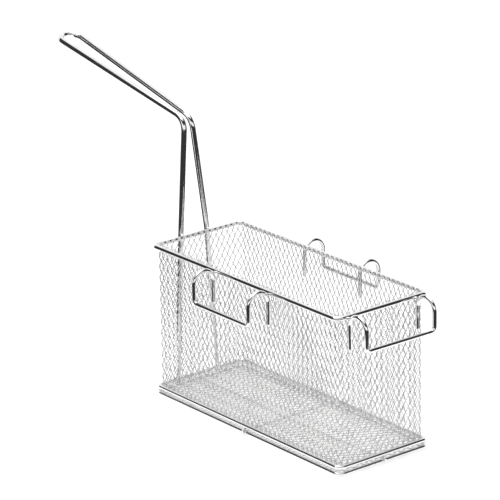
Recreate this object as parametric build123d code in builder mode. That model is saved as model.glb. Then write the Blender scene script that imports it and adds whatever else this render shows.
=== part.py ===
from build123d import *
from math import atan2, ceil, degrees, pi, radians, sin, sqrt, tan
import os

# Deep fryer basket of bright steel wire and woven wire mesh, in millimetres.
# X runs along the basket with the handle at -X, Y runs across it and Z is up.
# The origin is the middle of the base, on the surface that the basket stands on.

# Body, measured to the middle of its frame wires
basket_length = 290.0
basket_width = 113.0
rim_height = 162.0
corner_radius = 6.0

# Wire diameters
rim_wire = 5.0
base_wire = 4.5
brace_wire = 2.3
handle_wire = 6.0
bracket_wire = 4.5
mesh_wire = 0.95

# Flat sides of a wire's section, and the angle of each straight step in a bend
wire_sides = 12
brace_sides = 8
bend_step = 16.0

# Clearances: wires that are spot welded stand a hair apart
weld_gap = 0.05
notch_clearance = 0.3

# Slot between the two base frames, which holds the edge of the floor mesh
mesh_slot = 2.5

# Woven mesh, with fewer and wider ribs than it has wires: each rib holds the steel of a few wires
diamond_length = 7.2
diamond_height = 12.05
wires_per_wall_rib = 3
wires_per_floor_rib = 2
mesh_above_rim = 3.0
floor_mesh_margin = 1.5

# Braces under the floor, with ends that hook over the lower base frame
brace_bend_radius = 1.6
brace_rise_inset = 1.9
brace_rise_run = 2.0
brace_end_height = 1.0
brace_bow_half_length = 12.0
brace_bow_radius = 60.0

# Handle: a hairpin of one wire, its two legs welded outside the back of the basket
leg_end_height = 1.5
leg_spacing_base = 52.0
leg_spacing_rim = 34.0
leg_spacing_bend = 9.0
leg_lean_back = 5.5
leg_kink_radius = 14.0
bend_above_rim = 121.5
bend_radius = 16.0
grip_reach = 211.0
grip_rise_angle = 12.3
grip_tip_spacing = 25.0

# Hanging brackets, all three alike: their hooks start below the rim and bend out past it
bracket_width = 86.0
bracket_reach = 24.5
bracket_corner_radius = 4.5
arc_below_rim = 9.2
bar_below_rim = 28.2
leg_end_below_rim = 32.7

# Heights that follow from the wires, from the ground up
lower_frame_height = base_wire / 2
upper_frame_height = lower_frame_height + base_wire + mesh_slot
floor_mesh_height = base_wire + mesh_slot / 2
wall_mesh_bottom = floor_mesh_height + mesh_wire + weld_gap
wall_mesh_top = rim_height + mesh_above_rim
wall_mesh_height = wall_mesh_top - wall_mesh_bottom

# Half sizes of the body, and how far the wall mesh stands inside the rim
half_length = basket_length / 2
half_width = basket_width / 2
mesh_inset = max(rim_wire, base_wire) / 2 + weld_gap + mesh_wire


def outward_plane(turn, distance, height=0.0):
    """An upright plane facing away from the middle of the basket: local x along it, y up."""
    outward = Vector(1, 0, 0).rotate(Axis.Z, turn)
    along = Vector(0, 1, 0).rotate(Axis.Z, turn)
    return Plane(origin=outward * distance + Vector(0, 0, height), x_dir=along, z_dir=outward)


def bend_wire(route, diameter, sides=wire_sides):
    """Sweep a wire along a route, into the part that is being built, with its bends in short steps."""
    smooth_path = route.wire()
    stops = [smooth_path @ 0]
    travelled = 0
    for edge in smooth_path.order_edges():
        steps = 1
        if edge.geom_type == GeomType.CIRCLE:
            steps = max(1, round(degrees(edge.length / edge.radius) / bend_step))
        for _ in range(steps):
            travelled += edge.length / steps
            stops.append(smooth_path.position_at(travelled, PositionMode.LENGTH))
    with BuildLine(mode=Mode.PRIVATE) as stepped:
        Polyline(*stops)
    path = stepped.wire()
    with BuildSketch(Plane(origin=path @ 0, z_dir=path % 0)) as section:
        RegularPolygon(diameter / 2, sides)
    sweep(section.sketch, path=path, transition=Transition.RIGHT)


def frame_ring(height, diameter):
    """A closed ring of wire in the basket's plan shape, bent as one half and mirrored."""
    half = [
        (half_length, 0),
        (half_length, half_width),
        (-half_length, half_width),
        (-half_length, 0),
    ]
    with BuildLine(Plane.XY.offset(height)) as route:
        FilletPolyline(*half, radius=corner_radius)
    bend_wire(route, diameter)
    mirror(about=Plane.XZ)


def woven_panel(plane, length, height, wires_per_rib, fields=1):
    """A flat panel of two layers of parallel ribs, leaning opposite ways and joined where they cross.

    Its length is shared among equal fields of whole columns, so the ribs lie alike at their ends.
    """
    rib_width = wires_per_rib * pi / 4 * mesh_wire
    rib_pitch_across = wires_per_rib * diamond_height
    columns = fields * max(1, round(length / fields / (wires_per_rib * diamond_length)))
    rows = ceil(height / rib_pitch_across)
    pitch = length / columns
    lean = degrees(atan2(rib_pitch_across, pitch))
    shift = pitch / 2 * (height / rib_pitch_across - rows)
    rib_length = height / sin(radians(lean)) + 2 * rib_width
    for side in (1, -1):
        with BuildSketch(plane) as ribs:
            with Locations((side * shift, 0)):
                with GridLocations(pitch, pitch, columns + rows - 1, 1):
                    Rectangle(rib_length, rib_width, rotation=side * lean)
            Rectangle(length, height, mode=Mode.INTERSECT)
        extrude(ribs.sketch, amount=side * mesh_wire)


# Top rim
with BuildPart() as top_rim:
    frame_ring(rim_height, rim_wire)

# Base frames, which clamp the edge of the floor mesh between them
with BuildPart() as lower_base_frame:
    frame_ring(lower_frame_height, base_wire)

with BuildPart() as upper_base_frame:
    frame_ring(upper_frame_height, base_wire)


# Braces: each runs under the floor mesh, comes up through the slot and hooks down outside
brace_height = floor_mesh_height - mesh_wire - weld_gap - brace_wire / 2


def bend_brace(plane, half_span, bow=0.0):
    """Bend one brace, the same at both ends, bowed down in the middle by a given amount."""
    hook_offset = (base_wire + brace_wire) / 2 + weld_gap
    half = [
        (brace_bow_half_length, brace_height - bow),
        (half_span - brace_rise_inset - brace_rise_run, brace_height),
        (half_span - brace_rise_inset, lower_frame_height + hook_offset),
        (half_span + hook_offset, lower_frame_height + hook_offset),
        (half_span + hook_offset, brace_end_height),
    ]
    radii = [brace_bow_radius] + 3 * [brace_bend_radius]
    if not bow:
        half.pop(0)
        radii.pop(0)
    other_half = [(-x, z) for x, z in reversed(half)]
    with BuildLine(plane) as route:
        FilletPolyline(*other_half, *half, radius=radii[::-1] + radii)
    bend_wire(route, brace_wire, brace_sides)


with BuildPart() as cross_brace:
    bend_brace(Plane.YZ, half_width)

# The lengthwise brace bows down to pass below the crosswise one
with BuildPart() as lengthwise_brace:
    bend_brace(Plane.XZ, half_length, bow=brace_wire + weld_gap)


# Handle
leg_base_x = -(half_length + (base_wire + handle_wire) / 2 + weld_gap)
leg_rim_x = -(half_length + (rim_wire + handle_wire) / 2 + weld_gap)
bend_x = leg_rim_x - leg_lean_back
bend_height = rim_height + bend_above_rim
tip_x = bend_x - grip_reach
tip_height = bend_height + grip_reach * tan(radians(grip_rise_angle))

# The two corner bends of the tip nearly meet, so the end of the grip is almost a half circle
grip_splay = atan2((grip_tip_spacing - leg_spacing_bend) / 2, grip_reach)
tip_bend_radius = 0.97 * grip_tip_spacing / 2 / tan(pi / 4 + grip_splay / 2)

near_side = [
    (leg_base_x, -leg_spacing_base / 2, leg_end_height),
    (leg_rim_x, -leg_spacing_rim / 2, rim_height),
    (bend_x, -leg_spacing_bend / 2, bend_height),
    (tip_x, -grip_tip_spacing / 2, tip_height),
]
far_side = [(x, -y, z) for x, y, z in reversed(near_side)]
near_radii = [leg_kink_radius, bend_radius, tip_bend_radius]

with BuildPart() as handle:
    with BuildLine(mode=Mode.PRIVATE) as handle_route:
        FilletPolyline(*near_side, *far_side, radius=near_radii + near_radii[::-1])
    bend_wire(handle_route, handle_wire)


# Hanging brackets, each bent from one wire, whose hooks touch the rim where they bend out past it
arc_radius = bracket_reach / 2
arc_to_rim = arc_radius + (rim_wire + bracket_wire) / 2 + weld_gap
bracket_offset = sqrt(arc_to_rim**2 - arc_below_rim**2) - arc_radius
arc_height = rim_height - arc_below_rim
bar_height = rim_height - bar_below_rim
bracket_leg_end = rim_height - leg_end_below_rim


def bend_bracket(turn, rim_distance):
    """Two hooked legs joined by a bar at the bottom, standing off one side of the rim."""
    leg = bracket_width / 2
    with BuildLine(outward_plane(turn, rim_distance + bracket_offset)) as route:
        FilletPolyline(
            (-leg, arc_height, bracket_reach),
            (-leg, bar_height, bracket_reach),
            (leg, bar_height, bracket_reach),
            (leg, arc_height, bracket_reach),
            radius=bracket_corner_radius,
        )
        for x in (-leg, leg):
            ThreePointArc(
                (x, arc_height, bracket_reach),
                (x, arc_height + arc_radius, arc_radius),
                (x, arc_height, 0),
            )
            Line((x, arc_height, 0), (x, bracket_leg_end, 0))
    bend_wire(route, bracket_wire)


with BuildPart() as left_bracket:
    bend_bracket(-90, half_width)

with BuildPart() as right_bracket:
    bend_bracket(90, half_width)

with BuildPart() as front_bracket:
    bend_bracket(0, half_length)


# Mesh walls, which stand on the floor mesh inside the upper base frame and the rim
long_wall_distance = half_width - mesh_inset
end_wall_distance = half_length - mesh_inset
long_wall_length = basket_length - 2 * corner_radius
end_wall_length = basket_width - 2 * corner_radius
wall_mesh_middle = (wall_mesh_bottom + wall_mesh_top) / 2


def mesh_wall(turn, distance, length):
    """One upright wall of mesh, facing away from the middle of the basket."""
    plane = outward_plane(turn, distance, wall_mesh_middle)
    woven_panel(plane, length, wall_mesh_height, wires_per_wall_rib)


with BuildPart() as mesh_wall_left:
    mesh_wall(-90, long_wall_distance, long_wall_length)

with BuildPart() as mesh_wall_right:
    mesh_wall(90, long_wall_distance, long_wall_length)

with BuildPart() as mesh_wall_front:
    mesh_wall(0, end_wall_distance, end_wall_length)

with BuildPart() as mesh_wall_back:
    mesh_wall(180, end_wall_distance, end_wall_length)

# Floor mesh, a flat sheet whose edge lies in the slot, notched where the braces come up. It has
# two fields, so that a notch in the middle of its side cuts the same ribs at any length.
floor_length = basket_length + 2 * floor_mesh_margin
floor_width = basket_width + 2 * floor_mesh_margin
notch_width = brace_wire + 2 * notch_clearance
notch_depth = floor_mesh_margin + brace_rise_inset + brace_rise_run + notch_width / 2

with BuildPart() as mesh_floor:
    woven_panel(
        Plane.XY.offset(floor_mesh_height), floor_length, floor_width, wires_per_floor_rib, fields=2
    )
    with BuildSketch(Plane.XY.offset(floor_mesh_height)):
        RectangleRounded(floor_length, floor_width, corner_radius + floor_mesh_margin)
        with Locations((-floor_length / 2, 0), (floor_length / 2, 0)):
            Rectangle(2 * notch_depth, notch_width, mode=Mode.SUBTRACT)
        with Locations((0, -floor_width / 2), (0, floor_width / 2)):
            Rectangle(notch_width, 2 * notch_depth, mode=Mode.SUBTRACT)
    extrude(amount=mesh_wire, both=True, mode=Mode.INTERSECT)


pieces = {
    "top_rim": top_rim,
    "upper_base_frame": upper_base_frame,
    "lower_base_frame": lower_base_frame,
    "cross_brace": cross_brace,
    "lengthwise_brace": lengthwise_brace,
    "handle": handle,
    "left_bracket": left_bracket,
    "right_bracket": right_bracket,
    "front_bracket": front_bracket,
    "mesh_wall_left": mesh_wall_left,
    "mesh_wall_right": mesh_wall_right,
    "mesh_wall_front": mesh_wall_front,
    "mesh_wall_back": mesh_wall_back,
    "mesh_floor": mesh_floor,
}

os.makedirs("parts", exist_ok=True)
for name, piece in pieces.items():
    piece.part.label = name
    export_step(piece.part, f"parts/{name}.step")
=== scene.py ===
from math import cos, pi, radians, sin, tan

import bpy
from mathutils import Matrix, Vector


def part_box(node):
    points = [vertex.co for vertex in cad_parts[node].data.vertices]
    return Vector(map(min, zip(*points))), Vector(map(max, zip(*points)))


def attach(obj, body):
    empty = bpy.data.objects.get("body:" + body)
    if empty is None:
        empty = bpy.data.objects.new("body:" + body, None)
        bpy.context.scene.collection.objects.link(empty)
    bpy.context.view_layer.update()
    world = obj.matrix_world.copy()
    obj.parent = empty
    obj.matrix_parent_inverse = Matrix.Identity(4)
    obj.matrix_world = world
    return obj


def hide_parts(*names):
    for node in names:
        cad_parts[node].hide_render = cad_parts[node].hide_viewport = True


bl_info = {
    "name": "Deep Fryer Basket",
    "version": (1, 0, 0),
    "blender": (4, 5, 0),
    "location": "3D View > Sidebar > Fryer Basket",
    "description": "Bright bent wire and woven mesh over the packed basket, with its studio stage",
    "category": "Object",
}

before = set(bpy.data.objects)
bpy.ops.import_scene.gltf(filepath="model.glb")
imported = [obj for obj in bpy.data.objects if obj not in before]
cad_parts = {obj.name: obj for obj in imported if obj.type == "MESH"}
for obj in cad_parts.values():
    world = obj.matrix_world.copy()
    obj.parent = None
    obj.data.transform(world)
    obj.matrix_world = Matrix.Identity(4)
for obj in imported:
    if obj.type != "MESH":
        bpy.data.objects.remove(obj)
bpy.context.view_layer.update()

MM = 0.001
RIM_LOW, RIM_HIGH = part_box("top_rim")
BASE_LOW, BASE_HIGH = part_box("lower_base_frame")

# A wire's last straight ring before its cut end, and the end's bevel, as shares of its diameter
END_RING = 0.15
END_BEVEL = 0.08
# Points closer than the first are one place, and points closer than the second are merged
SAME_PLACE = 0.001 * MM
MERGE = 0.01 * MM
# Edges flatter than this are shaded smooth
SMOOTH_ANGLE = radians(40)


class BasketWires(bpy.types.PropertyGroup):
    rim: bpy.props.FloatProperty(
        name="Rim wire", description="Diameter of the top rim's wire",
        default=RIM_HIGH.z - RIM_LOW.z, unit="LENGTH")
    base: bpy.props.FloatProperty(
        name="Base wire", description="Diameter of the two base frames' wire",
        default=BASE_HIGH.z - BASE_LOW.z, unit="LENGTH")
    brace: bpy.props.FloatProperty(
        name="Brace wire", description="Diameter of the wire of the braces under the floor",
        default=2.3 * MM, unit="LENGTH")
    handle: bpy.props.FloatProperty(
        name="Handle wire", description="Diameter of the handle's wire",
        default=6 * MM, unit="LENGTH")
    bracket: bpy.props.FloatProperty(
        name="Bracket wire", description="Diameter of the hanging brackets' wire",
        default=4.5 * MM, unit="LENGTH")
    sides: bpy.props.IntProperty(
        name="Sides", description="Flat sides round a wire, which are shaded smooth",
        default=24, min=8, max=64)
    bend_step: bpy.props.FloatProperty(
        name="Bend step", description="Angle of each step of a bend",
        default=radians(7.5), subtype="ANGLE")
    corner: bpy.props.FloatProperty(
        name="Corner radius", description="Bend radius of the rim and base frames",
        default=6 * MM, unit="LENGTH")
    hook: bpy.props.FloatProperty(
        name="Hook radius", description="Bend radius of the brackets' hooks",
        default=12.25 * MM, unit="LENGTH")
    bracket_corner: bpy.props.FloatProperty(
        name="Bracket corner radius", description="Bend radius between a bracket's legs and bar",
        default=4.5 * MM, unit="LENGTH")


class BasketMesh(bpy.types.PropertyGroup):
    wire: bpy.props.FloatProperty(
        name="Mesh wire", description="Diameter of the wires that the mesh is woven of",
        default=0.95 * MM, unit="LENGTH")
    height: bpy.props.FloatProperty(
        name="Diamond height", description="Height of one diamond of the weave",
        default=12.05 * MM, unit="LENGTH")
    tip_weld: bpy.props.FloatVectorProperty(
        name="Tip weld", description="Half sizes of the weld that joins two wires at the rim",
        subtype="TRANSLATION", default=(1.5 * MM, 0.9 * MM, 1.7 * MM))
    notch: bpy.props.FloatVectorProperty(
        name="Brace notch", description="Half width and depth of the floor's notch round a brace",
        subtype="TRANSLATION", size=2, default=(1.45 * MM, 6.85 * MM))
    long_columns: bpy.props.IntProperty(
        name="Long wall diamonds", description="Diamonds along a long wall", default=39, min=3)
    end_columns: bpy.props.IntProperty(
        name="End wall diamonds", description="Diamonds along an end wall", default=15, min=3)
    floor_columns: bpy.props.IntProperty(
        name="Floor diamonds", description="Diamonds along the floor", default=41, min=3)
    floor_corner: bpy.props.FloatProperty(
        name="Floor corner", description="Radius of the floor mesh's corners, each cut straight across",
        default=7.5 * MM, unit="LENGTH")
    fold_steps: bpy.props.IntProperty(
        name="Fold steps", description="Small turns that fold a wall's end through a right angle",
        default=8, min=2, max=16)
    steps: bpy.props.IntProperty(
        name="Crimp steps", description="Straight steps of a wire over one diamond",
        default=8, min=4, max=16)
    sides: bpy.props.IntProperty(
        name="Sides", description="Flat sides round a mesh wire", default=6, min=4, max=12)


class BasketSteel(bpy.types.PropertyGroup):
    bright: bpy.props.FloatVectorProperty(
        name="Bright steel", description="Colour of the polished wire",
        subtype="COLOR", size=4, default=(0.93, 0.93, 0.93, 1))
    dull: bpy.props.FloatVectorProperty(
        name="Dull steel", description="Colour of the polished wire where it is handled or stained",
        subtype="COLOR", size=4, default=(0.80, 0.80, 0.80, 1))
    # Both mesh tones are set darker than the frame wire's steel as painted shade for the dark
    # reflections among the fine woven wires; the mix between the two is random staining
    mesh_shaded_bright: bpy.props.FloatVectorProperty(
        name="Shaded bright mesh", description="Colour of the mesh wires",
        subtype="COLOR", size=4, default=(0.80, 0.80, 0.80, 1))
    mesh_shaded_dull: bpy.props.FloatVectorProperty(
        name="Shaded dull mesh", description="Colour of the mesh wires where they are dulled",
        subtype="COLOR", size=4, default=(0.60, 0.60, 0.60, 1))
    relief: bpy.props.FloatProperty(
        name="Relief", description="Depth of the fine drawn marks in the steel",
        default=0.02 * MM, unit="LENGTH", precision=5)


class BasketStage(bpy.types.PropertyGroup):
    floor: bpy.props.FloatVectorProperty(
        name="Floor", description="Colour of the floor",
        subtype="COLOR", size=4, default=(0.86, 0.86, 0.86, 1))
    floor_size: bpy.props.FloatProperty(
        name="Floor size", description="Side of the square floor",
        default=6.0, unit="LENGTH")
    floor_glow: bpy.props.FloatProperty(
        name="Floor glow", description="How much the floor shines by itself, as a lit sweep does",
        default=0.35)
    sheet_front: bpy.props.FloatProperty(
        name="Sheet front", description="How far the white sheet comes towards the camera",
        default=0.33, unit="LENGTH")
    sheet_left: bpy.props.FloatProperty(
        name="Sheet left", description="How far the white sheet reaches to the camera's left",
        default=0.30, unit="LENGTH")
    sheet_right: bpy.props.FloatProperty(
        name="Sheet right", description="How far the white sheet reaches to the camera's right",
        default=0.42, unit="LENGTH")
    lamp_place: bpy.props.FloatVectorProperty(
        name="Lamp place", description="Middle of the soft lamp over the basket",
        subtype="TRANSLATION", default=(-0.2, -0.3, 1.8))
    lamp_size: bpy.props.FloatProperty(
        name="Lamp size", description="Width of the round soft lamp", default=1.6, unit="LENGTH")
    lamp_power: bpy.props.FloatProperty(
        name="Lamp power", description="Power of the soft lamp, in watts", default=16)
    world_light: bpy.props.FloatProperty(
        name="World light", description="Strength of the plain light from all round",
        default=0.75)
    room: bpy.props.FloatVectorProperty(
        name="Room", description="Tone of the unlit room that the metal mirrors",
        subtype="COLOR", size=4, default=(0.035, 0.035, 0.035, 1))
    azimuth: bpy.props.FloatProperty(
        name="Camera azimuth", description="Turn of the camera round the basket",
        default=radians(51.72), subtype="ANGLE")
    elevation: bpy.props.FloatProperty(
        name="Camera elevation", description="Angle of the camera above the floor",
        default=radians(19.03), subtype="ANGLE")
    roll: bpy.props.FloatProperty(
        name="Camera roll", description="Tilt of the camera about its own line of sight",
        default=radians(-1.10), subtype="ANGLE")
    distance: bpy.props.FloatProperty(
        name="Camera distance", description="From the camera to the point that it looks at",
        default=3.1087, unit="LENGTH")
    target: bpy.props.FloatVectorProperty(
        name="Camera target", description="Point that the camera looks at",
        subtype="TRANSLATION", default=(-0.0582, 0, 0.16675))
    lens: bpy.props.FloatProperty(
        name="Camera lens", description="Focal length on a 36 mm sensor, in millimetres",
        default=222.37)


def deselect_all():
    """Let every object go, so that the next operator touches only its own."""
    bpy.ops.object.select_all(action="DESELECT")


def settings():
    """The scene, which holds the property groups."""
    return bpy.context.scene


def start_wire(name, start, direction, diameter, sides):
    """Lay a wire's first section down and leave it open for bending."""
    deselect_all()
    turn = direction.to_track_quat("Z", "Y").to_euler()
    bpy.ops.mesh.primitive_circle_add(
        vertices=sides, radius=diameter / 2, fill_type="NGON", location=start, rotation=turn)
    wire = bpy.context.object
    wire.name = wire.data.name = name
    bpy.ops.object.transform_apply(location=True, rotation=True, scale=True)
    bpy.ops.object.mode_set(mode="EDIT")
    bpy.ops.mesh.select_all(action="SELECT")
    return wire


def push(offset):
    """Draw the wire straight out."""
    bpy.ops.mesh.extrude_region_move(TRANSFORM_OT_translate={"value": offset})


def select_faces(wire, wanted):
    """Select, in edit mode, the faces that the test picks."""
    bpy.ops.object.mode_set(mode="OBJECT")
    for face in wire.data.polygons:
        face.select = wanted(face)
    for part in (wire.data.edges, wire.data.vertices):
        part.foreach_set("select", [False] * len(part))
    bpy.ops.object.mode_set(mode="EDIT")
    bpy.ops.mesh.select_mode(type="FACE")


def select_ends(wire):
    """Select a wire's two flat ends, its only faces with more than four corners."""
    select_faces(wire, lambda face: len(face.vertices) > 4)


def make_active(piece):
    """Select one piece alone, for the next operator to work on."""
    deselect_all()
    piece.select_set(True)
    bpy.context.view_layer.objects.active = piece


def shade(wire):
    """Leave edit mode, and shade a wire as round."""
    bpy.ops.object.mode_set(mode="OBJECT")
    make_active(wire)
    bpy.ops.object.shade_smooth_by_angle(angle=SMOOTH_ANGLE)


def bend_wire(name, corners, radii, diameter, closed=False):
    """Bend a round wire along a route: its runs are extruded and its corners are spun."""
    wires = settings().basket_wires
    route = [Vector(corner) for corner in corners]
    if closed:
        middle = (route[-1] + route[0]) / 2
        route = [middle, *route, middle]
    wire = start_wire(name, route[0], route[1] - route[0], diameter, wires.sides)
    first_run = (route[1] - route[0]).normalized() * diameter * END_RING
    last_run = (route[-1] - route[-2]).normalized() * diameter * END_RING
    push(first_run)
    here = route[0] + first_run
    for before, corner, after, radius in zip(route, route[1:], route[2:], radii):
        way_in = (corner - before).normalized()
        way_out = (after - corner).normalized()
        angle = way_in.angle(way_out)
        reach = radius * tan(angle / 2)
        arc_start = corner - way_in * reach
        if (arc_start - here).length > SAME_PLACE:
            push(arc_start - here)
        inwards = (way_out - way_in * way_out.dot(way_in)).normalized()
        bpy.ops.mesh.spin(
            steps=max(2, round(angle / wires.bend_step)), angle=-angle,
            center=arc_start + inwards * radius, axis=way_in.cross(way_out).normalized(),
            use_auto_merge=False)
        here = corner + way_out * reach
    push(route[-1] - last_run - here)
    push(last_run)
    select_ends(wire)
    if closed:
        bpy.ops.mesh.delete(type="ONLY_FACE")
        bpy.ops.mesh.select_all(action="SELECT")
        bpy.ops.mesh.remove_doubles(threshold=MERGE)
    else:
        bpy.ops.mesh.bevel(offset=diameter * END_BEVEL, segments=2)
        bpy.ops.mesh.select_all(action="SELECT")
    bpy.ops.mesh.normals_make_consistent(inside=False)
    shade(wire)
    return wire


def finish_piece(piece, node, material):
    """Hang a finished piece on the frame in place of its CAD node."""
    piece.data.materials.clear()
    piece.data.materials.append(material)
    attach(piece, "root")
    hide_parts(node)


def steel_wear_group():
    """Tone, roughness and surface of drawn steel wire, used by the wire and the mesh alike."""
    name = "drawn steel wear"
    if name in bpy.data.node_groups:
        return bpy.data.node_groups[name]
    group = bpy.data.node_groups.new(name, "ShaderNodeTree")
    face = group.interface
    for label, low, high in (
        ("Stain Scale", 10, 400), ("Grain Scale", 500, 4000), ("Smooth", 0, 1), ("Rough", 0, 1),
        ("Bump Height", 0, 0.001),
    ):
        socket = face.new_socket(label, in_out="INPUT", socket_type="NodeSocketFloat")
        socket.min_value, socket.max_value = low, high
    for label in ("Bright", "Dull"):
        face.new_socket(label, in_out="INPUT", socket_type="NodeSocketColor")
    face.new_socket("Color", in_out="OUTPUT", socket_type="NodeSocketColor")
    face.new_socket("Roughness", in_out="OUTPUT", socket_type="NodeSocketFloat")
    face.new_socket("Normal", in_out="OUTPUT", socket_type="NodeSocketVector")
    nodes, links = group.nodes, group.links
    inside = nodes.new("NodeGroupInput")
    outside = nodes.new("NodeGroupOutput")
    place = nodes.new("ShaderNodeTexCoord")

    stain = nodes.new("ShaderNodeTexNoise")
    stain.inputs["Detail"].default_value = 4
    stain.inputs["Roughness"].default_value = 0.6
    links.new(place.outputs["Object"], stain.inputs["Vector"])
    links.new(inside.outputs["Stain Scale"], stain.inputs["Scale"])
    spread = nodes.new("ShaderNodeMapRange")
    spread.inputs["From Min"].default_value = 0.45
    spread.inputs["From Max"].default_value = 0.75
    links.new(stain.outputs["Fac"], spread.inputs["Value"])

    grain = nodes.new("ShaderNodeTexNoise")
    grain.inputs["Detail"].default_value = 3
    links.new(place.outputs["Object"], grain.inputs["Vector"])
    links.new(inside.outputs["Grain Scale"], grain.inputs["Scale"])

    tone = nodes.new("ShaderNodeMix")
    tone.data_type = "RGBA"
    links.new(spread.outputs["Result"], tone.inputs["Factor"])
    links.new(inside.outputs["Bright"], tone.inputs["A"])
    links.new(inside.outputs["Dull"], tone.inputs["B"])
    links.new(tone.outputs["Result"], outside.inputs["Color"])

    worn = nodes.new("ShaderNodeMath")
    worn.operation = "MULTIPLY"
    links.new(spread.outputs["Result"], worn.inputs[0])
    links.new(grain.outputs["Fac"], worn.inputs[1])
    gloss = nodes.new("ShaderNodeMapRange")
    links.new(worn.outputs["Value"], gloss.inputs["Value"])
    links.new(inside.outputs["Smooth"], gloss.inputs["To Min"])
    links.new(inside.outputs["Rough"], gloss.inputs["To Max"])
    links.new(gloss.outputs["Result"], outside.inputs["Roughness"])

    bump = nodes.new("ShaderNodeBump")
    links.new(grain.outputs["Fac"], bump.inputs["Height"])
    links.new(inside.outputs["Bump Height"], bump.inputs["Distance"])
    links.new(bump.outputs["Normal"], outside.inputs["Normal"])
    return group


def steel(name, bright, dull, stain, grain, smooth, rough, bump):
    """A polished steel finish with its own tones and wear."""
    if name in bpy.data.materials:
        return bpy.data.materials[name]
    material = bpy.data.materials.new(name)
    material.use_nodes = True
    nodes, links = material.node_tree.nodes, material.node_tree.links
    shader = nodes["Principled BSDF"]
    shader.inputs["Metallic"].default_value = 1
    wear = nodes.new("ShaderNodeGroup")
    wear.node_tree = steel_wear_group()
    wear.inputs["Bright"].default_value = bright
    wear.inputs["Dull"].default_value = dull
    wear.inputs["Stain Scale"].default_value = stain
    wear.inputs["Grain Scale"].default_value = grain
    wear.inputs["Smooth"].default_value = smooth
    wear.inputs["Rough"].default_value = rough
    wear.inputs["Bump Height"].default_value = bump
    links.new(wear.outputs["Color"], shader.inputs["Base Color"])
    links.new(wear.outputs["Roughness"], shader.inputs["Roughness"])
    links.new(wear.outputs["Normal"], shader.inputs["Normal"])
    return material


def polished_wire():
    """The bright plated wire of the frame, the brackets and the handle."""
    looks = settings().basket_steel
    return steel(
        "polished wire", looks.bright, looks.dull,
        stain=60, grain=1500, smooth=0.05, rough=0.30, bump=looks.relief)


def mesh_steel():
    """The thin woven wire, which is rougher and finer in its marks, with its tones set darker than the
    frame wire's as painted shade for the dark reflections among its fine wires.
    """
    looks = settings().basket_steel
    return steel(
        "mesh wire", looks.mesh_shaded_bright, looks.mesh_shaded_dull,
        stain=45, grain=2500, smooth=0.32, rough=0.45, bump=looks.relief)


def weld_steel():
    """The matt welds along the rim."""
    looks = settings().basket_steel
    return steel(
        "mesh weld", looks.bright, looks.dull,
        stain=45, grain=2500, smooth=0.55, rough=0.70, bump=looks.relief)


def frame_ring(name, diameter):
    """Bend one closed ring over the CAD ring of that name."""
    low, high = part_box(name)
    x, y = high.x - diameter / 2, high.y - diameter / 2
    z = (low.z + high.z) / 2
    corners = [(x, y, z), (-x, y, z), (-x, -y, z), (x, -y, z)]
    radius = settings().basket_wires.corner
    ring = bend_wire(name + "_wire", corners, [radius] * 4, diameter, closed=True)
    finish_piece(ring, name, polished_wire())


class BASKET_OT_rings(bpy.types.Operator):
    """Bend the top rim and the two base frames"""
    bl_idname = "basket.rings"
    bl_label = "Bend Rim and Base Frames"

    def execute(self, context):
        wires = context.scene.basket_wires
        frame_ring("top_rim", wires.rim)
        frame_ring("upper_base_frame", wires.base)
        frame_ring("lower_base_frame", wires.base)
        return {"FINISHED"}


class BASKET_OT_braces(bpy.types.Operator):
    """Bend the two braces that cross under the floor"""
    bl_idname = "basket.braces"
    bl_label = "Bend Floor Braces"

    def execute(self, context):
        wire = context.scene.basket_wires.brace
        # Heights of the run under the floor, of the lip over the lower ring and of the cut end
        shelf, lip, end = 3.6 * MM, 5.7 * MM, 1.0 * MM
        # The rise from shelf to lip, measured in from the tip, and half the length of the bow
        rise_from, rise_to, bow_half = 7.35 * MM, 5.35 * MM, 12 * MM
        bend_radius, bow_radius, bow_depth = 1.6 * MM, 60 * MM, 2.35 * MM
        for name, bow in (("cross_brace", 0), ("lengthwise_brace", bow_depth)):
            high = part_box(name)[1]
            tip = max(high.x, high.y) - wire / 2
            half = [
                (bow_half, shelf - bow), (tip - rise_from, shelf), (tip - rise_to, lip),
                (tip, lip), (tip, end),
            ]
            radii = [bow_radius, bend_radius, bend_radius, bend_radius]
            if not bow:
                half, radii = half[1:], radii[1:]
            route = [(-x, z) for x, z in reversed(half)] + half
            if bow:
                corners = [(x, 0, z) for x, z in route]
            else:
                corners = [(0, x, z) for x, z in route]
            brace = bend_wire(name + "_wire", corners, radii[::-1] + radii, wire)
            finish_piece(brace, name, polished_wire())
        return {"FINISHED"}


class BASKET_OT_handle(bpy.types.Operator):
    """Bend the hairpin handle, from its legs up the back to the end of the grip"""
    bl_idname = "basket.handle"
    bl_label = "Bend Handle"

    def execute(self, context):
        foot = (-150.30 * MM, -26 * MM, 1.5 * MM)
        at_rim = (-150.55 * MM, -17 * MM, 162 * MM)
        neck = (-156.05 * MM, -4.5 * MM, 283.5 * MM)
        grip_tip = (-367.05 * MM, -12.5 * MM, 329.505 * MM)
        kink_radius, neck_radius, tip_radius = 14 * MM, 16 * MM, 11.674 * MM
        near = [foot, at_rim, neck, grip_tip]
        far = [(x, -y, z) for x, y, z in reversed(near)]
        radii = [kink_radius, neck_radius, tip_radius]
        handle = bend_wire(
            "handle_wire", near + far, radii + radii[::-1], context.scene.basket_wires.handle)
        finish_piece(handle, "handle", polished_wire())
        return {"FINISHED"}


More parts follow.
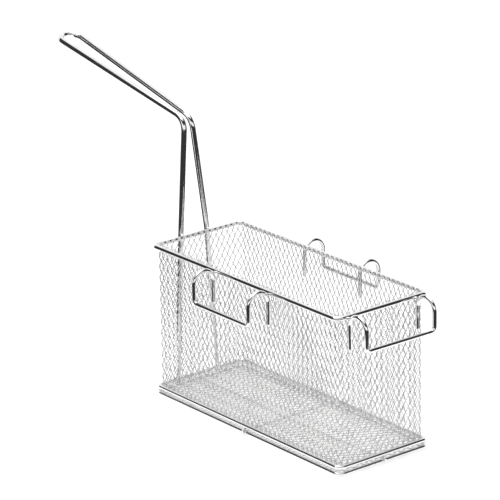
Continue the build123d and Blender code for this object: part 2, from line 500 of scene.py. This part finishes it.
class BASKET_OT_brackets(bpy.types.Operator):
    """Bend the three hanging brackets over the rim"""
    bl_idname = "basket.brackets"
    bl_label = "Bend Hanging Brackets"

    def execute(self, context):
        wires = context.scene.basket_wires
        wire, hook, corner = wires.bracket, wires.hook, wires.bracket_corner
        leg = 43 * MM
        # Heights of the hooks' tops, of the bar and of the inner legs' cut ends
        crown, bar, end = 165.05 * MM, 133.8 * MM, 129.3 * MM
        half = [(0, end), (0, crown), (2 * hook, crown), (2 * hook, bar)]
        for name, turn in (("left_bracket", -90), ("right_bracket", 90), ("front_bracket", 0)):
            low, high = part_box(name)
            inner = max(-high.y, low.y, low.x) + wire / 2
            route = [Vector((inner + out, -leg, z)) for out, z in half]
            route += [Vector((inner + out, leg, z)) for out, z in reversed(half)]
            turned = Matrix.Rotation(radians(turn), 3, "Z")
            bracket = bend_wire(
                name + "_wire", [turned @ point for point in route],
                [hook, hook, corner, corner, hook, hook], wire)
            finish_piece(bracket, name, polished_wire())
        return {"FINISHED"}


def weave_sheet(name, columns, rows, length, height):
    """Weave a sheet of crimped wires that pass over and under each other, upright and centred."""
    weave = settings().basket_mesh
    crimp = weave.wire / 2
    strands = []
    for rise in (1, -1):
        start = Vector((0, rise * crimp, (1 - rise) / 2 * height))
        strand = start_wire(
            name, start, Vector((length, 0, rise * height)), weave.wire, weave.sides)
        for step in range(weave.steps):
            before, after = (cos(2 * pi * at / weave.steps) for at in (step, step + 1))
            push((
                length / weave.steps, rise * crimp * (after - before),
                rise * height / weave.steps))
        bpy.ops.mesh.select_all(action="SELECT")
        bpy.ops.mesh.normals_make_consistent(inside=False)
        select_ends(strand)
        bpy.ops.mesh.delete(type="ONLY_FACE")
        bpy.ops.object.mode_set(mode="OBJECT")
        strands.append(strand)
    for strand in strands:
        strand.select_set(True)
    bpy.ops.object.join()
    sheet = bpy.context.object
    sheet.name = sheet.data.name = name
    repeat(sheet, columns, (length, 0, 0))
    repeat(sheet, rows, (0, 0, height))
    bpy.ops.object.mode_set(mode="EDIT")
    bpy.ops.mesh.select_all(action="SELECT")
    bpy.ops.mesh.remove_doubles(threshold=MERGE)
    bpy.ops.object.mode_set(mode="OBJECT")
    sheet.location = (-columns * length / 2, 0, 0)
    bpy.ops.object.transform_apply(location=True, rotation=False, scale=False)
    return sheet


def repeat(piece, count, offset):
    """Repeat a piece in a row, as one mesh."""
    array = piece.modifiers.new("repeat", "ARRAY")
    array.use_relative_offset = False
    array.use_constant_offset = True
    array.constant_offset_displace = offset
    array.count = count
    bpy.ops.object.modifier_apply(modifier=array.name)


def weld_tips(wall, columns, length, height):
    """Press a small weld over each crossing along the wall's top edge."""
    deselect_all()
    bpy.ops.mesh.primitive_uv_sphere_add(
        segments=12, ring_count=8, radius=1, location=(-columns * length / 2, 0, height))
    weld = bpy.context.object
    weld.scale = settings().basket_mesh.tip_weld
    bpy.ops.object.transform_apply(location=True, rotation=True, scale=True)
    repeat(weld, columns, (length, 0, 0))
    wall.select_set(True)
    bpy.context.view_layer.objects.active = wall
    bpy.ops.object.join()


def fold_ends(wall, flat, radius, steps):
    """Fold the wall back round the basket's corners, past its flat stretch, in small turns."""
    unfolded = [vertex.co.x for vertex in wall.data.vertices]
    turn = radians(90) / steps
    for side in (1, -1):
        for step in reversed(range(steps)):
            line = flat / 2 + radius * turn * (step + 0.5)
            if line > max(unfolded):
                continue
            bpy.ops.object.mode_set(mode="EDIT")
            bpy.ops.mesh.select_all(action="DESELECT")
            bpy.ops.mesh.select_mode(type="VERT")
            bpy.ops.object.mode_set(mode="OBJECT")
            wall.data.vertices.foreach_set("select", [side * x > line for x in unfolded])
            bpy.ops.object.mode_set(mode="EDIT")
            bpy.ops.transform.rotate(
                value=-side * turn, orient_axis="Z", center_override=(side * line, 0, 0))
            bpy.ops.object.mode_set(mode="OBJECT")


def cut_notch(sheet, low, high):
    """Cut a square notch out of a flat sheet, between two corners of its plan."""
    margin = 4 * MM
    for corner, side in ((low, -1), (high, 1)):
        for outwards in (Vector((side, 0, 0)), Vector((0, side, 0))):
            select_faces(sheet, lambda face: all(
                low[i] - margin < face.center[i] < high[i] + margin for i in (0, 1)))
            bpy.ops.mesh.bisect(plane_co=corner, plane_no=outwards)
    select_faces(sheet, lambda face: all(low[i] < face.center[i] < high[i] for i in (0, 1)))
    bpy.ops.mesh.delete(type="FACE")
    bpy.ops.object.mode_set(mode="OBJECT")


def close_ends(sheet):
    """Close the cut ends of a sheet's wires."""
    bpy.ops.object.mode_set(mode="EDIT")
    bpy.ops.mesh.select_all(action="SELECT")
    bpy.ops.mesh.fill_holes(sides=16)
    shade(sheet)


class BASKET_OT_walls(bpy.types.Operator):
    """Weave the four mesh walls and fold them round the corners"""
    bl_idname = "basket.walls"
    bl_label = "Weave Mesh Walls"

    def execute(self, context):
        weave = context.scene.basket_mesh
        long_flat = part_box("mesh_wall_left")[1].x * 2
        end_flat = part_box("mesh_wall_front")[1].y * 2
        low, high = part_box("mesh_wall_left")
        off_side = -(low.y + high.y) / 2
        low_end, high_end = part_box("mesh_wall_front")
        off_end = (low_end.x + high_end.x) / 2
        fold = off_end - long_flat / 2
        around = 2 * (long_flat + end_flat) + 2 * pi * fold
        length = around / (2 * weave.long_columns + 2 * weave.end_columns)
        rise = high.z - weave.tip_weld[2] - low.z
        rows = round(rise / weave.height)
        height = rise / rows
        for names, columns, flat, off, turn in (
            (("mesh_wall_left", "mesh_wall_right"), weave.long_columns, long_flat, off_side, 0),
            (("mesh_wall_front", "mesh_wall_back"), weave.end_columns, end_flat, off_end, 90),
        ):
            wall = weave_sheet("woven_strip", columns, rows + 1, length, height)
            bpy.ops.object.mode_set(mode="EDIT")
            bpy.ops.mesh.select_all(action="SELECT")
            bpy.ops.mesh.bisect(
                plane_co=(0, 0, high.z - low.z), plane_no=(0, 0, 1), clear_outer=True)
            bpy.ops.object.mode_set(mode="OBJECT")
            close_ends(wall)
            weld_tips(wall, columns, length, rise)
            fold_ends(wall, flat, fold, weave.fold_steps)
            shade(wall)
            wall.location = (0, -off, low.z)
            bpy.ops.object.transform_apply(location=True, rotation=False, scale=False)
            for name, extra in zip(names, (0, 180)):
                piece = wall.copy()
                piece.data = wall.data.copy()
                piece.name = piece.data.name = name + "_weave"
                context.collection.objects.link(piece)
                make_active(piece)
                piece.rotation_euler.z = radians(turn + extra)
                bpy.ops.object.transform_apply(location=False, rotation=True, scale=False)
                finish_piece(piece, name, mesh_steel())
                piece.data.materials.append(weld_steel())
                for face in piece.data.polygons:
                    face.material_index = face.center.z > high.z - 2 * weave.tip_weld[2]
            bpy.data.objects.remove(wall)
        return {"FINISHED"}


class BASKET_OT_floor_mesh(bpy.types.Operator):
    """Weave the mesh floor and trim it to the base frames"""
    bl_idname = "basket.floor_mesh"
    bl_label = "Weave Mesh Floor"

    def execute(self, context):
        weave = context.scene.basket_mesh
        low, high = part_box("mesh_floor")
        length = (high.x - low.x) / weave.floor_columns
        rows = int((high.y - low.y) / weave.height) + 1
        sheet = weave_sheet("mesh_floor_weave", weave.floor_columns, rows, length, weave.height)
        sheet.location = (0, -rows * weave.height / 2, (low.z + high.z) / 2)
        sheet.rotation_euler.x = radians(-90)
        bpy.ops.object.transform_apply(location=True, rotation=True, scale=False)
        corner = weave.floor_corner
        cuts = [((0, high.y, 0), (0, 1, 0)), ((0, low.y, 0), (0, -1, 0))]
        for x in (-1, 1):
            for y in (-1, 1):
                middle = Vector((x * (high.x - corner), y * (high.y - corner), 0))
                out = Vector((x, y, 0)).normalized()
                cuts.append((middle + out * corner, out))
        bpy.ops.object.mode_set(mode="EDIT")
        for at, outwards in cuts:
            bpy.ops.mesh.select_all(action="SELECT")
            bpy.ops.mesh.bisect(plane_co=at, plane_no=outwards, clear_outer=True)
        bpy.ops.object.mode_set(mode="OBJECT")
        half, depth = weave.notch
        for x in (low.x, high.x):
            cut_notch(sheet, Vector((x - depth, -half, 0)), Vector((x + depth, half, 0)))
        for y in (low.y, high.y):
            cut_notch(sheet, Vector((-half, y - depth, 0)), Vector((half, y + depth, 0)))
        close_ends(sheet)
        finish_piece(sheet, "mesh_floor", mesh_steel())
        return {"FINISHED"}


def fade(tree, value, low, high):
    """A smooth step from 0 to 1 as a value goes from low to high."""
    step = tree.nodes.new("ShaderNodeMapRange")
    step.interpolation_type = "SMOOTHSTEP"
    step.inputs["From Min"].default_value = low
    step.inputs["From Max"].default_value = high
    tree.links.new(value, step.inputs["Value"])
    return step.outputs["Result"]


def math_node(tree, operation, first, second):
    """A Math node, each of whose inputs is a socket or a number."""
    node = tree.nodes.new("ShaderNodeMath")
    node.operation = operation
    for socket, given in zip(node.inputs, (first, second)):
        if isinstance(given, bpy.types.NodeSocket):
            tree.links.new(given, socket)
        else:
            socket.default_value = given
    return node.outputs["Value"]


def along_way(tree, place, way):
    """How far a place lies in the given direction."""
    dot = tree.nodes.new("ShaderNodeVectorMath")
    dot.operation = "DOT_PRODUCT"
    dot.inputs[1].default_value = way
    tree.links.new(place, dot.inputs[0])
    return dot.outputs["Value"]


def studio_floor(looks, towards_camera, across):
    """A pale floor that keeps the shadow, and that metal mirrors as a white sheet with edges."""
    material = bpy.data.materials.new("studio floor")
    material.use_nodes = True
    tree = material.node_tree
    nodes, links = tree.nodes, tree.links
    shader = nodes["Principled BSDF"]
    shader.inputs["Base Color"].default_value = looks.floor
    shader.inputs["Roughness"].default_value = 0.9
    shader.inputs["Specular IOR Level"].default_value = 0
    glow = nodes.new("ShaderNodeEmission")
    glow.inputs["Strength"].default_value = looks.floor_glow
    lit = nodes.new("ShaderNodeAddShader")
    links.new(shader.outputs["BSDF"], lit.inputs[0])
    links.new(glow.outputs["Emission"], lit.inputs[1])
    place = nodes.new("ShaderNodeTexCoord").outputs["Object"]
    soft = 0.02
    past_front = fade(
        tree, along_way(tree, place, towards_camera),
        looks.sheet_front - soft, looks.sheet_front + soft)
    aside = along_way(tree, place, across)
    past_right = fade(tree, aside, looks.sheet_right - soft, looks.sheet_right + soft)
    past_left = fade(tree, aside, soft - looks.sheet_left, -soft - looks.sheet_left)
    past_side = math_node(tree, "MAXIMUM", past_right, past_left)
    edge = math_node(tree, "MAXIMUM", past_front, past_side)
    rays = nodes.new("ShaderNodeLightPath")
    past = math_node(tree, "MULTIPLY", rays.outputs["Is Glossy Ray"], edge)
    gone = nodes.new("ShaderNodeBsdfTransparent")
    mix = nodes.new("ShaderNodeMixShader")
    links.new(past, mix.inputs["Fac"])
    links.new(lit.outputs["Shader"], mix.inputs[1])
    links.new(gone.outputs["BSDF"], mix.inputs[2])
    links.new(mix.outputs["Shader"], nodes["Material Output"].inputs["Surface"])
    return material


def studio_world(looks, towards_camera, across):
    """White for the eye, plain light for the basket, and a darker room for its metal to mirror.

    The room has a white ceiling, which comes down lower on the left, a white backdrop behind the
    basket and a low white panel behind the camera. Each of their soft edges is two slopes of the
    direction to it: where it starts to fade and where it is gone, or the other way about.
    """
    ceiling_edge = sin(radians(56)), sin(radians(48))
    ceiling_drop = sin(radians(52)) - sin(radians(39))
    drop_front, drop_left = (-0.20, -0.05), (-0.35, -0.55)
    backdrop_front, backdrop_foot = (-0.54, -0.42), (-0.15, -0.28)
    panel_front, panel_foot, panel_top = (0.33, 0.45), (0.0, 0.10), (0.50, 0.38)

    world = bpy.data.worlds.new("studio")
    bpy.context.scene.world = world
    world.use_nodes = True
    tree = world.node_tree
    nodes, links = tree.nodes, tree.links
    light = nodes["Background"]
    light.inputs["Color"].default_value = (1, 1, 1, 1)
    light.inputs["Strength"].default_value = looks.world_light
    seen = nodes.new("ShaderNodeBackground")
    seen.inputs["Color"].default_value = (1, 1, 1, 1)

    way = nodes.new("ShaderNodeTexCoord").outputs["Generated"]
    height = along_way(tree, way, (0, 0, 1))
    front = along_way(tree, way, towards_camera)
    aside = along_way(tree, way, across)
    on_left = math_node(
        tree, "MULTIPLY", fade(tree, front, *drop_front), fade(tree, aside, *drop_left))
    raised = math_node(tree, "ADD", height, math_node(tree, "MULTIPLY", on_left, ceiling_drop))
    under_ceiling = fade(tree, raised, *ceiling_edge)
    around = math_node(
        tree, "MAXIMUM", fade(tree, front, *backdrop_front), fade(tree, height, *backdrop_foot))
    panel_rise = math_node(
        tree, "MULTIPLY", fade(tree, height, *panel_foot), fade(tree, height, *panel_top))
    behind_camera = math_node(tree, "MULTIPLY", fade(tree, front, *panel_front), panel_rise)
    unlit = math_node(tree, "SUBTRACT", 1, behind_camera)
    room = math_node(tree, "MULTIPLY", math_node(tree, "MULTIPLY", under_ceiling, around), unlit)
    tone = nodes.new("ShaderNodeMix")
    tone.data_type = "RGBA"
    tone.inputs["A"].default_value = (1, 1, 1, 1)
    tone.inputs["B"].default_value = looks.room
    links.new(room, tone.inputs["Factor"])
    mirrored = nodes.new("ShaderNodeBackground")
    links.new(tone.outputs["Result"], mirrored.inputs["Color"])

    rays = nodes.new("ShaderNodeLightPath")
    for_gloss = nodes.new("ShaderNodeMixShader")
    links.new(rays.outputs["Is Glossy Ray"], for_gloss.inputs["Fac"])
    links.new(light.outputs["Background"], for_gloss.inputs[1])
    links.new(mirrored.outputs["Background"], for_gloss.inputs[2])
    for_eye = nodes.new("ShaderNodeMixShader")
    links.new(rays.outputs["Is Camera Ray"], for_eye.inputs["Fac"])
    links.new(for_gloss.outputs["Shader"], for_eye.inputs[1])
    links.new(seen.outputs["Background"], for_eye.inputs[2])
    links.new(for_eye.outputs["Shader"], nodes["World Output"].inputs["Surface"])


def area_lamp(name, at, size, power):
    """Hang a round soft lamp that points at the basket's base."""
    bpy.ops.object.light_add(type="AREA", location=at)
    lamp = bpy.context.object
    lamp.name = lamp.data.name = name
    lamp.data.shape = "DISK"
    lamp.data.size = size
    lamp.data.energy = power
    lamp.rotation_euler = (-Vector(at)).to_track_quat("-Z", "Y").to_euler()


class BASKET_OT_stage(bpy.types.Operator):
    """Set the pale floor, the soft lamp, the white surroundings and the camera"""
    bl_idname = "basket.stage"
    bl_label = "Set Studio Stage"

    def execute(self, context):
        looks = context.scene.basket_stage
        deselect_all()
        bpy.ops.mesh.primitive_plane_add(size=looks.floor_size)
        floor = bpy.context.object
        floor.name = floor.data.name = "studio_floor"
        towards_camera = Vector((sin(looks.azimuth), -cos(looks.azimuth), 0))
        across = Vector((cos(looks.azimuth), sin(looks.azimuth), 0))
        floor.data.materials.append(studio_floor(looks, towards_camera, across))
        area_lamp("softbox_over", looks.lamp_place, looks.lamp_size, looks.lamp_power)

        studio_world(looks, towards_camera, across)
        back = towards_camera * cos(looks.elevation) + Vector((0, 0, sin(looks.elevation)))
        lift = back.cross(across)
        right = across * cos(looks.roll) + lift * sin(looks.roll)
        up = lift * cos(looks.roll) - across * sin(looks.roll)
        bpy.ops.object.camera_add(location=Vector(looks.target) + back * looks.distance)
        camera = bpy.context.object
        camera.rotation_euler = Matrix((right, up, back)).transposed().to_euler()
        camera.data.sensor_width = 36
        camera.data.lens = looks.lens
        context.scene.camera = camera
        context.scene.view_settings.view_transform = "Standard"
        return {"FINISHED"}


class BASKET_PT_sidebar(bpy.types.Panel):
    """The basket's pieces, in the order that they are made"""
    bl_label = "Fryer Basket"
    bl_idname = "BASKET_PT_sidebar"
    bl_space_type = "VIEW_3D"
    bl_region_type = "UI"
    bl_category = "Fryer Basket"

    def draw(self, context):
        for step in STEPS:
            self.layout.operator(step.bl_idname)


STEPS = (
    BASKET_OT_rings, BASKET_OT_braces, BASKET_OT_handle, BASKET_OT_brackets, BASKET_OT_walls,
    BASKET_OT_floor_mesh, BASKET_OT_stage,
)
GROUPS = {
    "basket_wires": BasketWires,
    "basket_mesh": BasketMesh,
    "basket_steel": BasketSteel,
    "basket_stage": BasketStage,
}


def register():
    for cls in (*GROUPS.values(), *STEPS, BASKET_PT_sidebar):
        bpy.utils.register_class(cls)
    for name, group in GROUPS.items():
        setattr(bpy.types.Scene, name, bpy.props.PointerProperty(type=group))


def unregister():
    for name in GROUPS:
        delattr(bpy.types.Scene, name)
    for cls in (BASKET_PT_sidebar, *reversed(STEPS), *GROUPS.values()):
        bpy.utils.unregister_class(cls)


def main():
    register()
    bpy.ops.basket.rings()
    bpy.ops.basket.braces()
    bpy.ops.basket.handle()
    bpy.ops.basket.brackets()
    bpy.ops.basket.walls()
    bpy.ops.basket.floor_mesh()
    bpy.ops.basket.stage()


if __name__ == "__main__":
    main()
